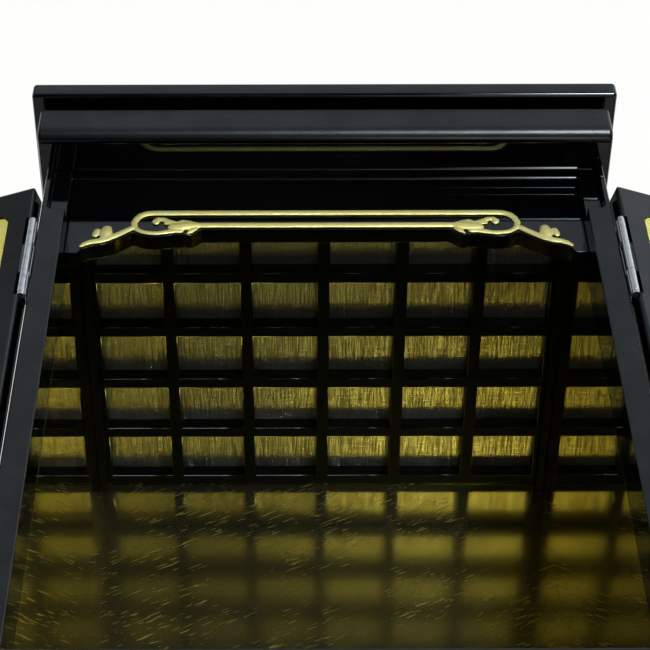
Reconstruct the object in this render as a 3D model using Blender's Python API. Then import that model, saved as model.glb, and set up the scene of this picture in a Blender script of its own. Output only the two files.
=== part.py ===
"""Black-lacquer tabletop home altar with gilded inside and two hinged doors.

Metres, +Z up. The front looks along -Y. The origin is at the middle of the
underside, halfway between the foremost and rearmost edges of the top board.
The doors stand wide open, a little behind the plane of the front.
"""
import math

import bmesh
import bpy
from mathutils import Vector

# Clearance between pieces that touch
GAP = 0.0003

# Carcass
INTERIOR_WIDTH = 0.372
POST_WIDTH = 0.017
POST_DEPTH = 0.040
BODY_HEIGHT = 0.487
INTERIOR_DEPTH = 0.3313
GILT_BACK_THICKNESS = 0.003
BACK_BOARD_THICKNESS = 0.006
GILT_SIDE_THICKNESS = 0.004
EDGE_ROUNDING = 0.0012

# Notch in the inner top corner of each post
NOTCH_WIDTH = 0.013
NOTCH_DEPTH = 0.010
NOTCH_DROP = 0.060
NOTCH_CORNER = 0.005

# Cornice, from the soffit up
CORNICE_THICKNESS = 0.0335
CORNICE_OVERHANG_SIDE = 0.0075
CORNICE_OVERHANG_FRONT = 0.023
NECK_HEIGHT = 0.007
NECK_SETBACK = 0.009
TOP_THICKNESS = 0.016
TOP_OVERHANG_SIDE = 0.0145
TOP_OVERHANG_FRONT = 0.030
BOARD_ROUNDING = 0.003
SOFFIT_ROUNDING = 0.0095
MOULDING_STEPS = ((0.0122, 0.0017), (0.0047, 0.0034))
MOULDING_ROUNDING = 0.0016

# Base, from the ground up
PLINTH_HEIGHT = 0.0365
PLINTH_WALL = 0.020
BASE_STEP_THICKNESS = 0.020
FLOOR_THICKNESS = 0.009
SILL_HEIGHT = 0.026
SILL_THICKNESS = 0.014

# Ceiling: coffers between battens, with a hanging rail along each side
COFFER_COLUMNS = 6
COFFER_ROWS = 5
COFFER_DEPTH = 0.0122
BATTEN_WIDTH = 0.0096
LATTICE_DROP = 0.0025
CEILING_START = 0.0510
CEILING_THICKNESS = 0.004
RAIL_WIDTH = 0.007
RAIL_HANG = 0.008

# Header board between the posts and the gilded scroll along its lower edge
HEADER_SETBACK = 0.0197
HEADER_THICKNESS = 0.012
HEADER_EDGE_MARGIN = 0.0010
HEADER_END_DROP = 0.0862
HEADER_SAMPLE = 0.0022
CARVED_REACH = 0.0400
SCROLL_RELIEF = 0.45
SCROLL_LIFT = 0.0002
STROKE_SIDES = 10
UPPER_BAR_DROP = 0.0406
UPPER_BAR_RADIUS = 0.0031
LOWER_BAR_DROP = 0.0554
LOWER_BAR_RADIUS = 0.0031
EYE_X = 0.1245
EYE_DROP = 0.0524
LEAF_REACH = 0.0340

# Strokes round the eye of the scroll: out and up from the eye, and radius
EYE_LOOP = (
    (0.0044, 0.0114, 0.0031), (0.0087, 0.0092, 0.0031), (0.0119, 0.0052, 0.0029),
    (0.0136, 0.0000, 0.0027), (0.0129, -0.0048, 0.0024), (0.0105, -0.0084, 0.0023),
    (0.0072, -0.0105, 0.0023), (0.0025, -0.0118, 0.0023), (-0.0023, -0.0121, 0.0023),
    (-0.0070, -0.0115, 0.0024), (-0.0117, -0.0103, 0.0026), (-0.0155, -0.0092, 0.0028),
    (-0.0203, -0.0096, 0.0024),
)
EYE_HOOK = (
    (-0.0145, -0.0021, 0.0024), (-0.0113, 0.0016, 0.0026), (-0.0073, 0.0040, 0.0026),
    (-0.0037, 0.0042, 0.0026), (-0.0019, 0.0019, 0.0031), (-0.0021, 0.0009, 0.0031),
)
TAIL = (
    (0.0130, -0.0044, 0.0026), (0.0190, -0.0093, 0.0028), (0.0250, -0.0140, 0.0029),
    (0.0317, -0.0184, 0.0031), (0.0374, -0.0209, 0.0030), (0.0433, -0.0221, 0.0027),
    (0.0477, -0.0246, 0.0025), (0.0503, -0.0269, 0.0015),
)
BUD = ((0.0328, -0.0070, 0.0040), (0.0331, -0.0116, 0.0050), (0.0334, -0.0150, 0.0045))
BUD_LOBE = ((0.0395, -0.0091, 0.0027), (0.0407, -0.0141, 0.0028))
LEAF = (
    (-0.0340, -0.0030, 0.0028), (-0.0297, -0.0028, 0.0040), (-0.0251, -0.0036, 0.0048),
    (-0.0201, -0.0048, 0.0048), (-0.0151, -0.0052, 0.0044),
)
LEAF_LOBES = (
    ((-0.0270, 0.0002, 0.0024), (-0.0212, 0.0012, 0.0027), (-0.0177, -0.0006, 0.0022)),
    ((-0.0177, -0.0008, 0.0022), (-0.0129, 0.0008, 0.0028), (-0.0097, -0.0004, 0.0022)),
    ((-0.0305, -0.0066, 0.0026), (-0.0277, -0.0098, 0.0024), (-0.0255, -0.0124, 0.0010)),
)

# Doors and hinges
DOOR_THICKNESS = 0.015
DOOR_TOP_DROP = 0.0428
DOOR_BOTTOM_LIFT = 0.012
DOOR_MEETING_GAP = 0.001
DOOR_ROUNDING = 0.0018
DOOR_STAND_OFF = 0.0013
STILE_WIDTH = 0.0165
DOOR_RAIL_WIDTH = 0.027
PANEL_CORNER = 0.009
PANEL_SINK = 0.0015
PANEL_THICKNESS = 0.0018
OPEN_ANGLE_DEGREES = 197.5
DOOR_EDGE_SETBACK = 0.0010
SWING_CLEARANCE = 0.0002
PIN_TO_DOOR_FACE = 0.0030
HINGE_LENGTH = 0.080
HINGE_INSET = 0.039
BARREL_RADIUS = 0.0028
PIN_RADIUS = 0.0012
PIN_HEAD = 0.0022
HEAD_RADIUS = 0.0026
ROD_SIDES = 16
PIN_CLEARANCE = 0.0001
KNUCKLE_SHARE = 0.30
LEAF_THICKNESS = 0.0008
LEAF_WIDTH = 0.018
BLADE_WIDTH = 0.012
HINGE_CLEARANCE = 0.0005

# Colour, roughness and metallic value of each finish
FINISHES = {
    "black_lacquer": ((0.006, 0.006, 0.007), 0.06, 0.0),
    "plain_black": ((0.012, 0.012, 0.013), 0.35, 0.0),
    "gold_leaf": ((0.72, 0.50, 0.16), 0.18, 1.0),
    "gold_weave": ((0.62, 0.45, 0.16), 0.42, 1.0),
    "gilded_carving": ((0.85, 0.62, 0.20), 0.28, 1.0),
    "hinge_metal": ((0.62, 0.62, 0.62), 0.22, 1.0),
}

# Places worked out from the sizes
BODY_WIDTH = INTERIOR_WIDTH + 2 * POST_WIDTH
HALF_INSIDE = INTERIOR_WIDTH / 2
HALF_BODY = BODY_WIDTH / 2
BODY_DEPTH = INTERIOR_DEPTH + GAP + GILT_BACK_THICKNESS + GAP + BACK_BOARD_THICKNESS
FRONT_Y = (TOP_OVERHANG_FRONT - BODY_DEPTH) / 2
BACK_Y = FRONT_Y + BODY_DEPTH
WALL_Y = FRONT_Y + INTERIOR_DEPTH
BODY_BOTTOM = PLINTH_HEIGHT + BASE_STEP_THICKNESS
SOFFIT = BODY_BOTTOM + BODY_HEIGHT
LATTICE_BOTTOM = SOFFIT - LATTICE_DROP
CEILING_TOP = LATTICE_BOTTOM + COFFER_DEPTH + GAP + CEILING_THICKNESS
HEADER_FACE = FRONT_Y + HEADER_SETBACK
HEADER_BACK = HEADER_FACE + HEADER_THICKNESS
OPEN_ANGLE = math.radians(OPEN_ANGLE_DEGREES)
BEYOND_FLAT = OPEN_ANGLE - math.pi
SWING_SIN = math.sin(BEYOND_FLAT)
SWING_COS = math.cos(BEYOND_FLAT)
ROUNDING_SAVES = DOOR_ROUNDING * (SWING_SIN + SWING_COS - 1)
CORNER_REACH = (DOOR_THICKNESS - PIN_TO_DOOR_FACE) * SWING_SIN - DOOR_EDGE_SETBACK * SWING_COS
PIN_X_OUT = CORNER_REACH - ROUNDING_SAVES + SWING_CLEARANCE + LEAF_THICKNESS + GAP
PIN_X = HALF_BODY + PIN_X_OUT
PIN_Y = FRONT_Y - DOOR_STAND_OFF - PIN_TO_DOOR_FACE
DOOR_TOP = SOFFIT - DOOR_TOP_DROP
DOOR_BOTTOM = BODY_BOTTOM + DOOR_BOTTOM_LIFT
SIDES = {"left": -1, "right": 1}


def finish(name):
    """Return the material of one finish, made on first use."""
    material = bpy.data.materials.get(name)
    if material is None:
        color, roughness, metallic = FINISHES[name]
        material = bpy.data.materials.new(name)
        material.use_nodes = True
        shader = material.node_tree.nodes["Principled BSDF"]
        shader.inputs["Base Color"].default_value = (*color, 1.0)
        shader.inputs["Roughness"].default_value = roughness
        shader.inputs["Metallic"].default_value = metallic
        material.diffuse_color = (*color, 1.0)
    return material


def add(name, bm, material=None):
    """Turn a bmesh into a named object."""
    bmesh.ops.recalc_face_normals(bm, faces=bm.faces)
    mesh = bpy.data.meshes.new(name)
    bm.to_mesh(mesh)
    bm.free()
    obj = bpy.data.objects.new(name, mesh)
    bpy.context.scene.collection.objects.link(obj)
    if material:
        mesh.materials.append(finish(material))
    return obj


def box(name, x, y, z, material=None):
    """A box between two values on each axis."""
    bm = bmesh.new()
    bmesh.ops.create_cube(bm, size=1.0)
    size = Vector((x[1] - x[0], y[1] - y[0], z[1] - z[0]))
    middle = Vector((x[0] + x[1], y[0] + y[1], z[0] + z[1])) / 2
    bmesh.ops.scale(bm, vec=size, verts=bm.verts)
    bmesh.ops.translate(bm, vec=middle, verts=bm.verts)
    return add(name, bm, material)


def rod(name, radius, z, material=None):
    """An upright round rod on the Z axis."""
    bm = bmesh.new()
    bmesh.ops.create_cone(
        bm, cap_ends=True, segments=ROD_SIDES, radius1=radius, radius2=radius, depth=z[1] - z[0]
    )
    bmesh.ops.translate(bm, vec=(0, 0, (z[0] + z[1]) / 2), verts=bm.verts)
    return add(name, bm, material)


def prism(name, outline, y, material=None):
    """Extrude an outline of (x, z) points from one depth to another."""
    bm = bmesh.new()
    front = bm.faces.new([bm.verts.new((px, y[0], pz)) for px, pz in outline])
    back = bmesh.ops.extrude_face_region(bm, geom=[front])
    moved = [item for item in back["geom"] if isinstance(item, bmesh.types.BMVert)]
    bmesh.ops.translate(bm, vec=(0, y[1] - y[0], 0), verts=moved)
    return add(name, bm, material)


def rounded_outline(x, z, radius, steps=5):
    """Corner points of a rectangle with round corners, as (x, z) pairs."""
    corners = ((x[1], z[1], 0), (x[0], z[1], 90), (x[0], z[0], 180), (x[1], z[0], 270))
    points = []
    for px, pz, start in corners:
        middle_x = px - math.copysign(radius, px - sum(x) / 2)
        middle_z = pz - math.copysign(radius, pz - sum(z) / 2)
        for step in range(steps + 1):
            angle = math.radians(start + 90 * step / steps)
            points.append((middle_x + radius * math.cos(angle), middle_z + radius * math.sin(angle)))
    return points


def combine(base, tools, operation="UNION"):
    """Join the tools to the base, or cut them from it, and remove them."""
    for tool in tools:
        modifier = base.modifiers.new("combine", "BOOLEAN")
        modifier.operation = operation
        modifier.solver = "EXACT"
        modifier.object = tool
        graph = bpy.context.evaluated_depsgraph_get()
        mesh = bpy.data.meshes.new_from_object(base.evaluated_get(graph))
        base.modifiers.clear()
        mesh.name = base.data.name
        old = base.data
        base.data = mesh
        bpy.data.meshes.remove(old)
        bpy.data.objects.remove(tool)
    return base


def round_edges(obj, width, segments=2, angle=40):
    """Round the edges that are sharper than an angle in degrees."""
    modifier = obj.modifiers.new("rounded edges", "BEVEL")
    modifier.width = width
    modifier.segments = segments
    modifier.limit_method = "ANGLE"
    modifier.angle_limit = math.radians(angle)
    return obj


def round_front_edge(obj, width, segments=6):
    """Round the lower front edge of a board."""
    bm = bmesh.new()
    bm.from_mesh(obj.data)
    front = min(vert.co.y for vert in bm.verts)
    low = min(vert.co.z for vert in bm.verts)
    edges = [
        edge for edge in bm.edges
        if all(vert.co.y - front < GAP and vert.co.z - low < GAP for vert in edge.verts)
    ]
    bmesh.ops.bevel(
        bm, geom=edges, offset=width, offset_type="OFFSET", segments=segments,
        profile=0.5, affect="EDGES",
    )
    bm.to_mesh(obj.data)
    bm.free()


def make_cornice():
    """Stepped cornice: soffit board, recessed neck and top board."""
    cornice_side = HALF_BODY + CORNICE_OVERHANG_SIDE
    cornice_front = FRONT_Y - CORNICE_OVERHANG_FRONT
    neck_bottom = SOFFIT + CORNICE_THICKNESS
    top_bottom = neck_bottom + NECK_HEIGHT
    board = box(
        "cornice_board", (-cornice_side, cornice_side), (cornice_front, BACK_Y),
        (SOFFIT, neck_bottom - GAP), "black_lacquer",
    )
    ceiling_room = box(
        "ceiling room", (-HALF_INSIDE, HALF_INSIDE), (FRONT_Y + CEILING_START, WALL_Y),
        (SOFFIT - GAP, CEILING_TOP + GAP),
    )
    round_front_edge(board, SOFFIT_ROUNDING)
    round_edges(board, BOARD_ROUNDING, 3)
    combine(board, [ceiling_room], "DIFFERENCE")
    neck_side = cornice_side - NECK_SETBACK
    neck = box(
        "cornice_neck", (-neck_side, neck_side), (cornice_front + NECK_SETBACK, BACK_Y),
        (neck_bottom, top_bottom - GAP), "black_lacquer",
    )
    round_edges(neck, EDGE_ROUNDING / 2, 1)
    top_side = HALF_BODY + TOP_OVERHANG_SIDE
    top = box(
        "top_board", (-top_side, top_side), (FRONT_Y - TOP_OVERHANG_FRONT, BACK_Y),
        (top_bottom, top_bottom + TOP_THICKNESS), "black_lacquer",
    )
    round_edges(top, BOARD_ROUNDING, 3)


def make_bead():
    """Moulding of two thin steps in the corner of the soffit and the header."""
    rounding_steps = 4
    corner_y = HEADER_FACE - GAP
    corner_z = SOFFIT - GAP
    start = -HALF_INSIDE + GAP
    outline = [(0, 0)]
    above = 0
    for reach, drop in MOULDING_STEPS:
        outline.append((reach, above))
        for step in range(rounding_steps + 1):
            angle = math.pi / 2 * step / rounding_steps
            out = reach - MOULDING_ROUNDING * (1 - math.cos(angle))
            outline.append((out, drop - MOULDING_ROUNDING * (1 - math.sin(angle))))
        above = drop
    outline.append((0, above))
    bm = bmesh.new()
    face = bm.faces.new([bm.verts.new((start, corner_y - out, corner_z - down)) for out, down in outline])
    end = bmesh.ops.extrude_face_region(bm, geom=[face])
    moved = [item for item in end["geom"] if isinstance(item, bmesh.types.BMVert)]
    bmesh.ops.translate(bm, vec=(-2 * start, 0, 0), verts=moved)
    add("cornice_bead", bm, "black_lacquer")


def make_posts():
    """Front posts, each with a round-cornered notch at its inner top."""
    for side, sign in SIDES.items():
        edges = sorted((sign * HALF_INSIDE, sign * HALF_BODY))
        post = box(
            f"post_{side}", edges, (FRONT_Y, FRONT_Y + POST_DEPTH),
            (BODY_BOTTOM + GAP, SOFFIT - GAP), "black_lacquer",
        )
        reach = NOTCH_CORNER * 2
        notch_x = sorted((sign * (HALF_INSIDE - reach), sign * (HALF_INSIDE + NOTCH_WIDTH)))
        notch_z = (SOFFIT - NOTCH_DROP, SOFFIT + reach)
        outline = rounded_outline(notch_x, notch_z, NOTCH_CORNER)
        notch = prism("notch", outline, (FRONT_Y - reach, FRONT_Y + NOTCH_DEPTH))
        combine(post, [notch], "DIFFERENCE")
        round_edges(post, EDGE_ROUNDING)


def make_walls():
    """Side boards, back board and the gilded panels that line them."""
    body_z = (BODY_BOTTOM + GAP, SOFFIT - GAP)
    lining_z = (BODY_BOTTOM + FLOOR_THICKNESS + GAP, SOFFIT - GAP)
    behind_post = FRONT_Y + POST_DEPTH + GAP
    for side, sign in SIDES.items():
        lining_out = HALF_INSIDE + GILT_SIDE_THICKNESS
        lining_x = sorted((sign * HALF_INSIDE, sign * lining_out))
        box(f"gilt_side_{side}", lining_x, (behind_post, WALL_Y), lining_z, "gold_leaf")
        board_x = sorted((sign * (lining_out + GAP), sign * HALF_BODY))
        board = box(
            f"side_board_{side}", board_x, (behind_post, BACK_Y - BACK_BOARD_THICKNESS - GAP),
            body_z, "black_lacquer",
        )
        round_edges(board, EDGE_ROUNDING, 1)
    gilt_x = HALF_INSIDE + GILT_SIDE_THICKNESS
    box(
        "gilt_back", (-gilt_x, gilt_x), (WALL_Y + GAP, WALL_Y + GAP + GILT_BACK_THICKNESS),
        lining_z, "gold_leaf",
    )
    back = box(
        "back_board", (-HALF_BODY, HALF_BODY), (BACK_Y - BACK_BOARD_THICKNESS, BACK_Y),
        body_z, "plain_black",
    )
    round_edges(back, EDGE_ROUNDING, 1)


def make_base():
    """Plinth ring, step board, floor board and front sill."""
    step_side = HALF_BODY + CORNICE_OVERHANG_SIDE
    plinth_side = HALF_BODY + TOP_OVERHANG_SIDE
    plinth_front = FRONT_Y - TOP_OVERHANG_FRONT
    plinth = box(
        "base_plinth", (-plinth_side, plinth_side), (plinth_front, BACK_Y),
        (0, PLINTH_HEIGHT - GAP), "black_lacquer",
    )
    hollow = box(
        "hollow", (PLINTH_WALL - plinth_side, plinth_side - PLINTH_WALL),
        (plinth_front + PLINTH_WALL, BACK_Y - PLINTH_WALL), (-GAP, PLINTH_HEIGHT + GAP),
    )
    round_edges(plinth, BOARD_ROUNDING, 2)
    combine(plinth, [hollow], "DIFFERENCE")
    step = box(
        "base_step", (-step_side, step_side), (FRONT_Y - CORNICE_OVERHANG_FRONT, BACK_Y),
        (PLINTH_HEIGHT, BODY_BOTTOM), "black_lacquer",
    )
    round_edges(step, BOARD_ROUNDING, 3)
    inside = HALF_INSIDE - GAP
    behind_post = FRONT_Y + POST_DEPTH + GAP
    box(
        "floor_board", (-inside, inside), (behind_post, WALL_Y),
        (BODY_BOTTOM + GAP, BODY_BOTTOM + FLOOR_THICKNESS), "black_lacquer",
    )
    sill = box(
        "sill_rail", (-inside, inside), (behind_post - GAP - SILL_THICKNESS, behind_post - GAP),
        (BODY_BOTTOM + GAP, BODY_BOTTOM + SILL_HEIGHT), "black_lacquer",
    )
    round_edges(sill, EDGE_ROUNDING)


def coffer_edges():
    """X and Y values where coffers and battens change over."""
    pitch_x = INTERIOR_WIDTH / (COFFER_COLUMNS + 0.2)
    first_y = FRONT_Y + CEILING_START + GAP
    last_y = WALL_Y - GAP
    pitch_y = (last_y - first_y - BATTEN_WIDTH) / COFFER_ROWS
    xs = [-HALF_INSIDE + GAP]
    for column in range(COFFER_COLUMNS):
        left = (column - COFFER_COLUMNS / 2) * pitch_x
        xs += [left + BATTEN_WIDTH / 2, left + pitch_x - BATTEN_WIDTH / 2]
    xs.append(HALF_INSIDE - GAP)
    ys = [first_y]
    for row in range(COFFER_ROWS):
        near = first_y + row * pitch_y + BATTEN_WIDTH
        ys += [near, near + pitch_y - BATTEN_WIDTH]
    ys.append(last_y)
    return xs, ys


def make_ceiling():
    """Batten lattice, gold panel above it and a rail along each side."""
    xs, ys = coffer_edges()
    bm = bmesh.new()
    grid = [[bm.verts.new((x, y, LATTICE_BOTTOM)) for y in ys] for x in xs]
    for i in range(len(xs) - 1):
        for j in range(len(ys) - 1):
            is_coffer = i % 2 == 1 and j % 2 == 1
            if not is_coffer:
                bm.faces.new((grid[i][j], grid[i + 1][j], grid[i + 1][j + 1], grid[i][j + 1]))
    raised = bmesh.ops.extrude_face_region(bm, geom=list(bm.faces))
    moved = [item for item in raised["geom"] if isinstance(item, bmesh.types.BMVert)]
    bmesh.ops.translate(bm, vec=(0, 0, COFFER_DEPTH), verts=moved)
    add("ceiling_lattice", bm, "black_lacquer")
    box(
        "ceiling_panel", (xs[0], xs[-1]), (ys[0], ys[-1]),
        (CEILING_TOP - CEILING_THICKNESS, CEILING_TOP), "gold_weave",
    )
    for side, sign in SIDES.items():
        rail_x = sorted((sign * (HALF_INSIDE - GAP), sign * (HALF_INSIDE - RAIL_WIDTH)))
        rail = box(
            f"ceiling_rail_{side}", rail_x, (HEADER_BACK + GAP, WALL_Y - GAP),
            (LATTICE_BOTTOM - RAIL_HANG, LATTICE_BOTTOM - GAP), "black_lacquer",
        )
        round_edges(rail, EDGE_ROUNDING / 2, 2)
    board = box(
        "ceiling_front_board", (-HALF_INSIDE + GAP, HALF_INSIDE - GAP),
        (HEADER_BACK + GAP, FRONT_Y + CEILING_START), (LATTICE_BOTTOM, SOFFIT - GAP),
        "black_lacquer",
    )
    round_edges(board, EDGE_ROUNDING / 4, 1)


def around_eye(table):
    """Points and radii of one stroke, placed by the eye of the scroll."""
    points = [(EYE_X + out, up - EYE_DROP) for out, up, radius in table]
    return points, [radius for out, up, radius in table]


def scroll_strokes():
    """Strokes of the scroll's right half, as (points, radii).

    A point is its distance from the middle and its height from the soffit.
    """
    points, radii = around_eye(EYE_LOOP)
    loop = ([(EYE_X, -UPPER_BAR_DROP)] + points, [UPPER_BAR_RADIUS] + radii)
    rest = [EYE_HOOK, TAIL, BUD, BUD_LOBE, LEAF, *LEAF_LOBES]
    return [loop] + [around_eye(table) for table in rest]


def blunt(points, radii):
    """Add the rings that close both ends of a stroke in a round tip."""
    tips = []
    for end, inner in ((0, 1), (-1, -2)):
        tip = Vector(points[end])
        outward = (tip - Vector(points[inner])).normalized()
        tips.append([
            (tuple(tip + outward * radii[end] * math.sin(math.radians(a))),
             radii[end] * math.cos(math.radians(a)))
            for a in (40, 78)
        ])
    head = list(reversed(tips[0]))
    tail = tips[1]
    all_points = [p for p, _ in head] + list(points) + [p for p, _ in tail]
    all_radii = [r for _, r in head] + list(radii) + [r for _, r in tail]
    return all_points, all_radii


def stroke(name, points, radii):
    """A carved stroke: round rings along the points, deeper than wide."""
    points, radii = blunt(points, radii)
    points = [Vector((x, 0, z)) for x, z in points]
    place = Vector((0, HEADER_FACE - GAP - SCROLL_LIFT, SOFFIT))
    bm = bmesh.new()
    rings = []
    for index, (point, radius) in enumerate(zip(points, radii)):
        along = points[min(index + 1, len(points) - 1)] - points[max(index - 1, 0)]
        across = Vector((along.z, 0, -along.x)).normalized() * radius
        ring = []
        for corner in range(STROKE_SIDES):
            angle = math.tau * (corner + 0.5) / STROKE_SIDES
            depth = Vector((0, radius * SCROLL_RELIEF * math.sin(angle), 0))
            ring.append(bm.verts.new(place + point + across * math.cos(angle) + depth))
        rings.append(ring)
    for first, second in zip(rings, rings[1:]):
        for corner in range(STROKE_SIDES):
            after = (corner + 1) % STROKE_SIDES
            bm.faces.new((first[corner], first[after], second[after], second[corner]))
    bm.faces.new(rings[0])
    bm.faces.new(rings[-1])
    return add(name, bm)


def mirrored(points):
    """The same points on the other side of the middle."""
    return [(-x, z) for x, z in points]


def make_scroll():
    """Gilded scroll in relief, flat where it lies against the header."""
    loop, radii = scroll_strokes()[0]
    whole = mirrored(reversed(loop)) + loop
    scroll = stroke("header_scroll", whole, list(reversed(radii)) + radii)
    bar_end = EYE_X - LEAF_REACH
    bar = [(-bar_end, -LOWER_BAR_DROP), (0, -LOWER_BAR_DROP), (bar_end, -LOWER_BAR_DROP)]
    tools = [stroke("lower bar", bar, [LOWER_BAR_RADIUS] * 3)]
    for points, radii in scroll_strokes()[1:]:
        tools.append(stroke("stroke", points, radii))
        tools.append(stroke("stroke", mirrored(points), radii))
    combine(scroll, tools)
    behind = box(
        "behind", (-HALF_BODY, HALF_BODY), (HEADER_FACE - GAP, HEADER_BACK),
        (SOFFIT - 2 * HEADER_END_DROP, SOFFIT),
    )
    combine(scroll, [behind], "DIFFERENCE")
    scroll.data.materials.clear()
    scroll.data.materials.append(finish("gilded_carving"))


def fill_in(points, radii, step):
    """Circles at small steps along a stroke, as (x, z, radius)."""
    circles = []
    for index in range(len(points) - 1):
        start = Vector((*points[index], radii[index]))
        end = Vector((*points[index + 1], radii[index + 1]))
        count = max(1, math.ceil((end - start).length / step))
        circles += [start.lerp(end, part / count) for part in range(count + 1)]
    return circles


def header_edge(x, circles):
    """Height of the header's lower edge from the soffit, at one place."""
    lowest = -(LOWER_BAR_DROP + LOWER_BAR_RADIUS + HEADER_EDGE_MARGIN)
    for middle_x, middle_z, radius in circles:
        reach = radius + HEADER_EDGE_MARGIN
        off = abs(abs(x) - middle_x)
        if off < reach:
            lowest = min(lowest, middle_z - math.sqrt(reach ** 2 - off ** 2))
    tail_end = max(circle[0] + circle[2] for circle in circles) - HEADER_EDGE_MARGIN
    if abs(x) > tail_end:
        lowest = min(lowest, -HEADER_END_DROP)
    return lowest


def make_header():
    """Board between the posts, cusped along the underside of the scroll."""
    circles = []
    for points, radii in scroll_strokes():
        circles += fill_in(points, radii, HEADER_SAMPLE / 3)
    end = HALF_INSIDE - GAP
    carved_from = EYE_X - CARVED_REACH
    count = math.ceil((end - carved_from) / HEADER_SAMPLE)
    right = [carved_from + (end - carved_from) * index / count for index in range(count + 1)]
    lower = [(x, SOFFIT + header_edge(x, circles)) for x in right]
    outline = [(-x, z) for x, z in reversed(lower)] + lower
    outline += [(end, SOFFIT - GAP), (-end, SOFFIT - GAP)]
    prism("header_board", outline, (HEADER_FACE, HEADER_BACK), "black_lacquer")


def hinge_heights():
    """Lowest and highest point of each hinge."""
    upper = DOOR_TOP - HINGE_INSET
    lower = DOOR_BOTTOM + HINGE_INSET
    return {"upper": (upper - HINGE_LENGTH, upper), "lower": (lower, lower + HINGE_LENGTH)}


def make_fixed_leaf(side, sign, level, z):
    """Leaf on the side board with the outer knuckles and the pin."""
    name = f"hinge_{side}_{level}_fixed"
    length = HINGE_LENGTH * KNUCKLE_SHARE
    inner_x = -sign * (PIN_X_OUT - GAP)
    leaf_x = sorted((inner_x, inner_x + sign * LEAF_THICKNESS))
    front = FRONT_Y - PIN_Y
    leaf = box(name, leaf_x, (front + GAP, front + LEAF_WIDTH), z, "hinge_metal")
    tools = []
    for low, high in ((z[0], z[0] + length), (z[1] - length, z[1])):
        tab_x = sorted((inner_x, -sign * BARREL_RADIUS * 2 / 3))
        tools.append(box("tab", tab_x, (0, front + 2 * GAP), (low + GAP, high - GAP)))
        tools.append(rod("knuckle", BARREL_RADIUS, (low, high)))
    tools.append(rod("pin", PIN_RADIUS, (z[0] - GAP, z[1] + GAP)))
    tools.append(rod("head", HEAD_RADIUS, (z[0] - PIN_HEAD, z[0] + GAP)))
    tools.append(rod("head", HEAD_RADIUS, (z[1] - GAP, z[1] + PIN_HEAD)))
    combine(leaf, tools)
    leaf.location = (sign * PIN_X, PIN_Y, 0)


def make_door_leaf(side, sign, level, z):
    """Middle knuckle with a blade that sits in a slot in the door's edge."""
    name = f"hinge_{side}_{level}_door"
    length = HINGE_LENGTH * KNUCKLE_SHARE + HINGE_CLEARANCE / 2
    middle = (z[0] + length, z[1] - length)
    knuckle = rod(name, BARREL_RADIUS, middle, material="hinge_metal")
    blade_x = sorted((-sign * PIN_RADIUS * 1.5, -sign * BLADE_WIDTH))
    half = LEAF_THICKNESS / 2
    combine(knuckle, [box("blade", blade_x, (-half, half), (middle[0] + GAP, middle[1] - GAP))])
    bore = rod("bore", (PIN_RADIUS + PIN_CLEARANCE) / math.cos(math.pi / ROD_SIDES), z)
    combine(knuckle, [bore], "DIFFERENCE")
    return knuckle


def make_door(side, sign):
    """One door, modelled closed and then swung open about its pin."""
    pivot = bpy.data.objects.new(f"pivot_{side}", None)
    bpy.context.scene.collection.objects.link(pivot)
    pivot.location = (sign * PIN_X, PIN_Y, 0)
    inner_face = PIN_TO_DOOR_FACE
    outer_face = inner_face - DOOR_THICKNESS
    width = PIN_X - DOOR_MEETING_GAP / 2
    door_x = sorted((-sign * DOOR_EDGE_SETBACK, -sign * width))
    door = box(f"door_{side}", door_x, (outer_face, inner_face), (DOOR_BOTTOM, DOOR_TOP),
               "black_lacquer")
    hinge_stile = DOOR_EDGE_SETBACK + STILE_WIDTH
    panel_x = sorted((-sign * hinge_stile, -sign * (width - STILE_WIDTH)))
    panel_z = (DOOR_BOTTOM + DOOR_RAIL_WIDTH, DOOR_TOP - DOOR_RAIL_WIDTH)
    pocket = inner_face - PANEL_SINK - PANEL_THICKNESS - GAP
    outline = rounded_outline(panel_x, panel_z, PANEL_CORNER)
    cutters = [prism("pocket", outline, (pocket, inner_face + PANEL_SINK))]
    for z in hinge_heights().values():
        room = HINGE_CLEARANCE
        cut_z = (z[0] - PIN_HEAD - room, z[1] + PIN_HEAD + room)
        corner_x = sorted((sign * room * 2, -sign * (PIN_X_OUT + GAP)))
        cutters.append(box("corner", corner_x, (0, inner_face + room * 2), cut_z))
        cutters.append(rod("socket", BARREL_RADIUS + room, cut_z))
        slot_x = sorted((0, -sign * (BLADE_WIDTH + GAP)))
        half = LEAF_THICKNESS / 2 + GAP
        cutters.append(box("slot", slot_x, (-half, half), z))
    round_edges(door, DOOR_ROUNDING)
    combine(door, cutters, "DIFFERENCE")
    panel_outline = rounded_outline(
        (panel_x[0] + GAP, panel_x[1] - GAP), (panel_z[0] + GAP, panel_z[1] - GAP),
        PANEL_CORNER - GAP,
    )
    panel = prism(
        f"gilt_door_panel_{side}", panel_outline, (pocket + GAP, pocket + GAP + PANEL_THICKNESS),
        "gold_leaf",
    )
    leaves = [make_door_leaf(side, sign, level, z) for level, z in hinge_heights().items()]
    for piece in [door, panel, *leaves]:
        piece.parent = pivot
    pivot.rotation_euler.z = sign * OPEN_ANGLE


def main():
    for obj in list(bpy.data.objects):
        bpy.data.objects.remove(obj)
    make_cornice()
    make_bead()
    make_posts()
    make_walls()
    make_base()
    make_ceiling()
    make_header()
    make_scroll()
    for side, sign in SIDES.items():
        for level, z in hinge_heights().items():
            make_fixed_leaf(side, sign, level, z)
        make_door(side, sign)


main()
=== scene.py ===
"""Looks of a tabletop home altar: mirror-black lacquer outside, gilded within.

Metres, +Z up, the front looks along -Y. Every piece starts from the shape of
its solid; softened edges, the joined scroll and all finishes are made here.
"""
import math

import bmesh
import bpy
from bpy.props import FloatProperty, FloatVectorProperty, IntProperty, PointerProperty
from bpy.types import Operator, Panel, PropertyGroup
from mathutils import Matrix, Vector


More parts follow.
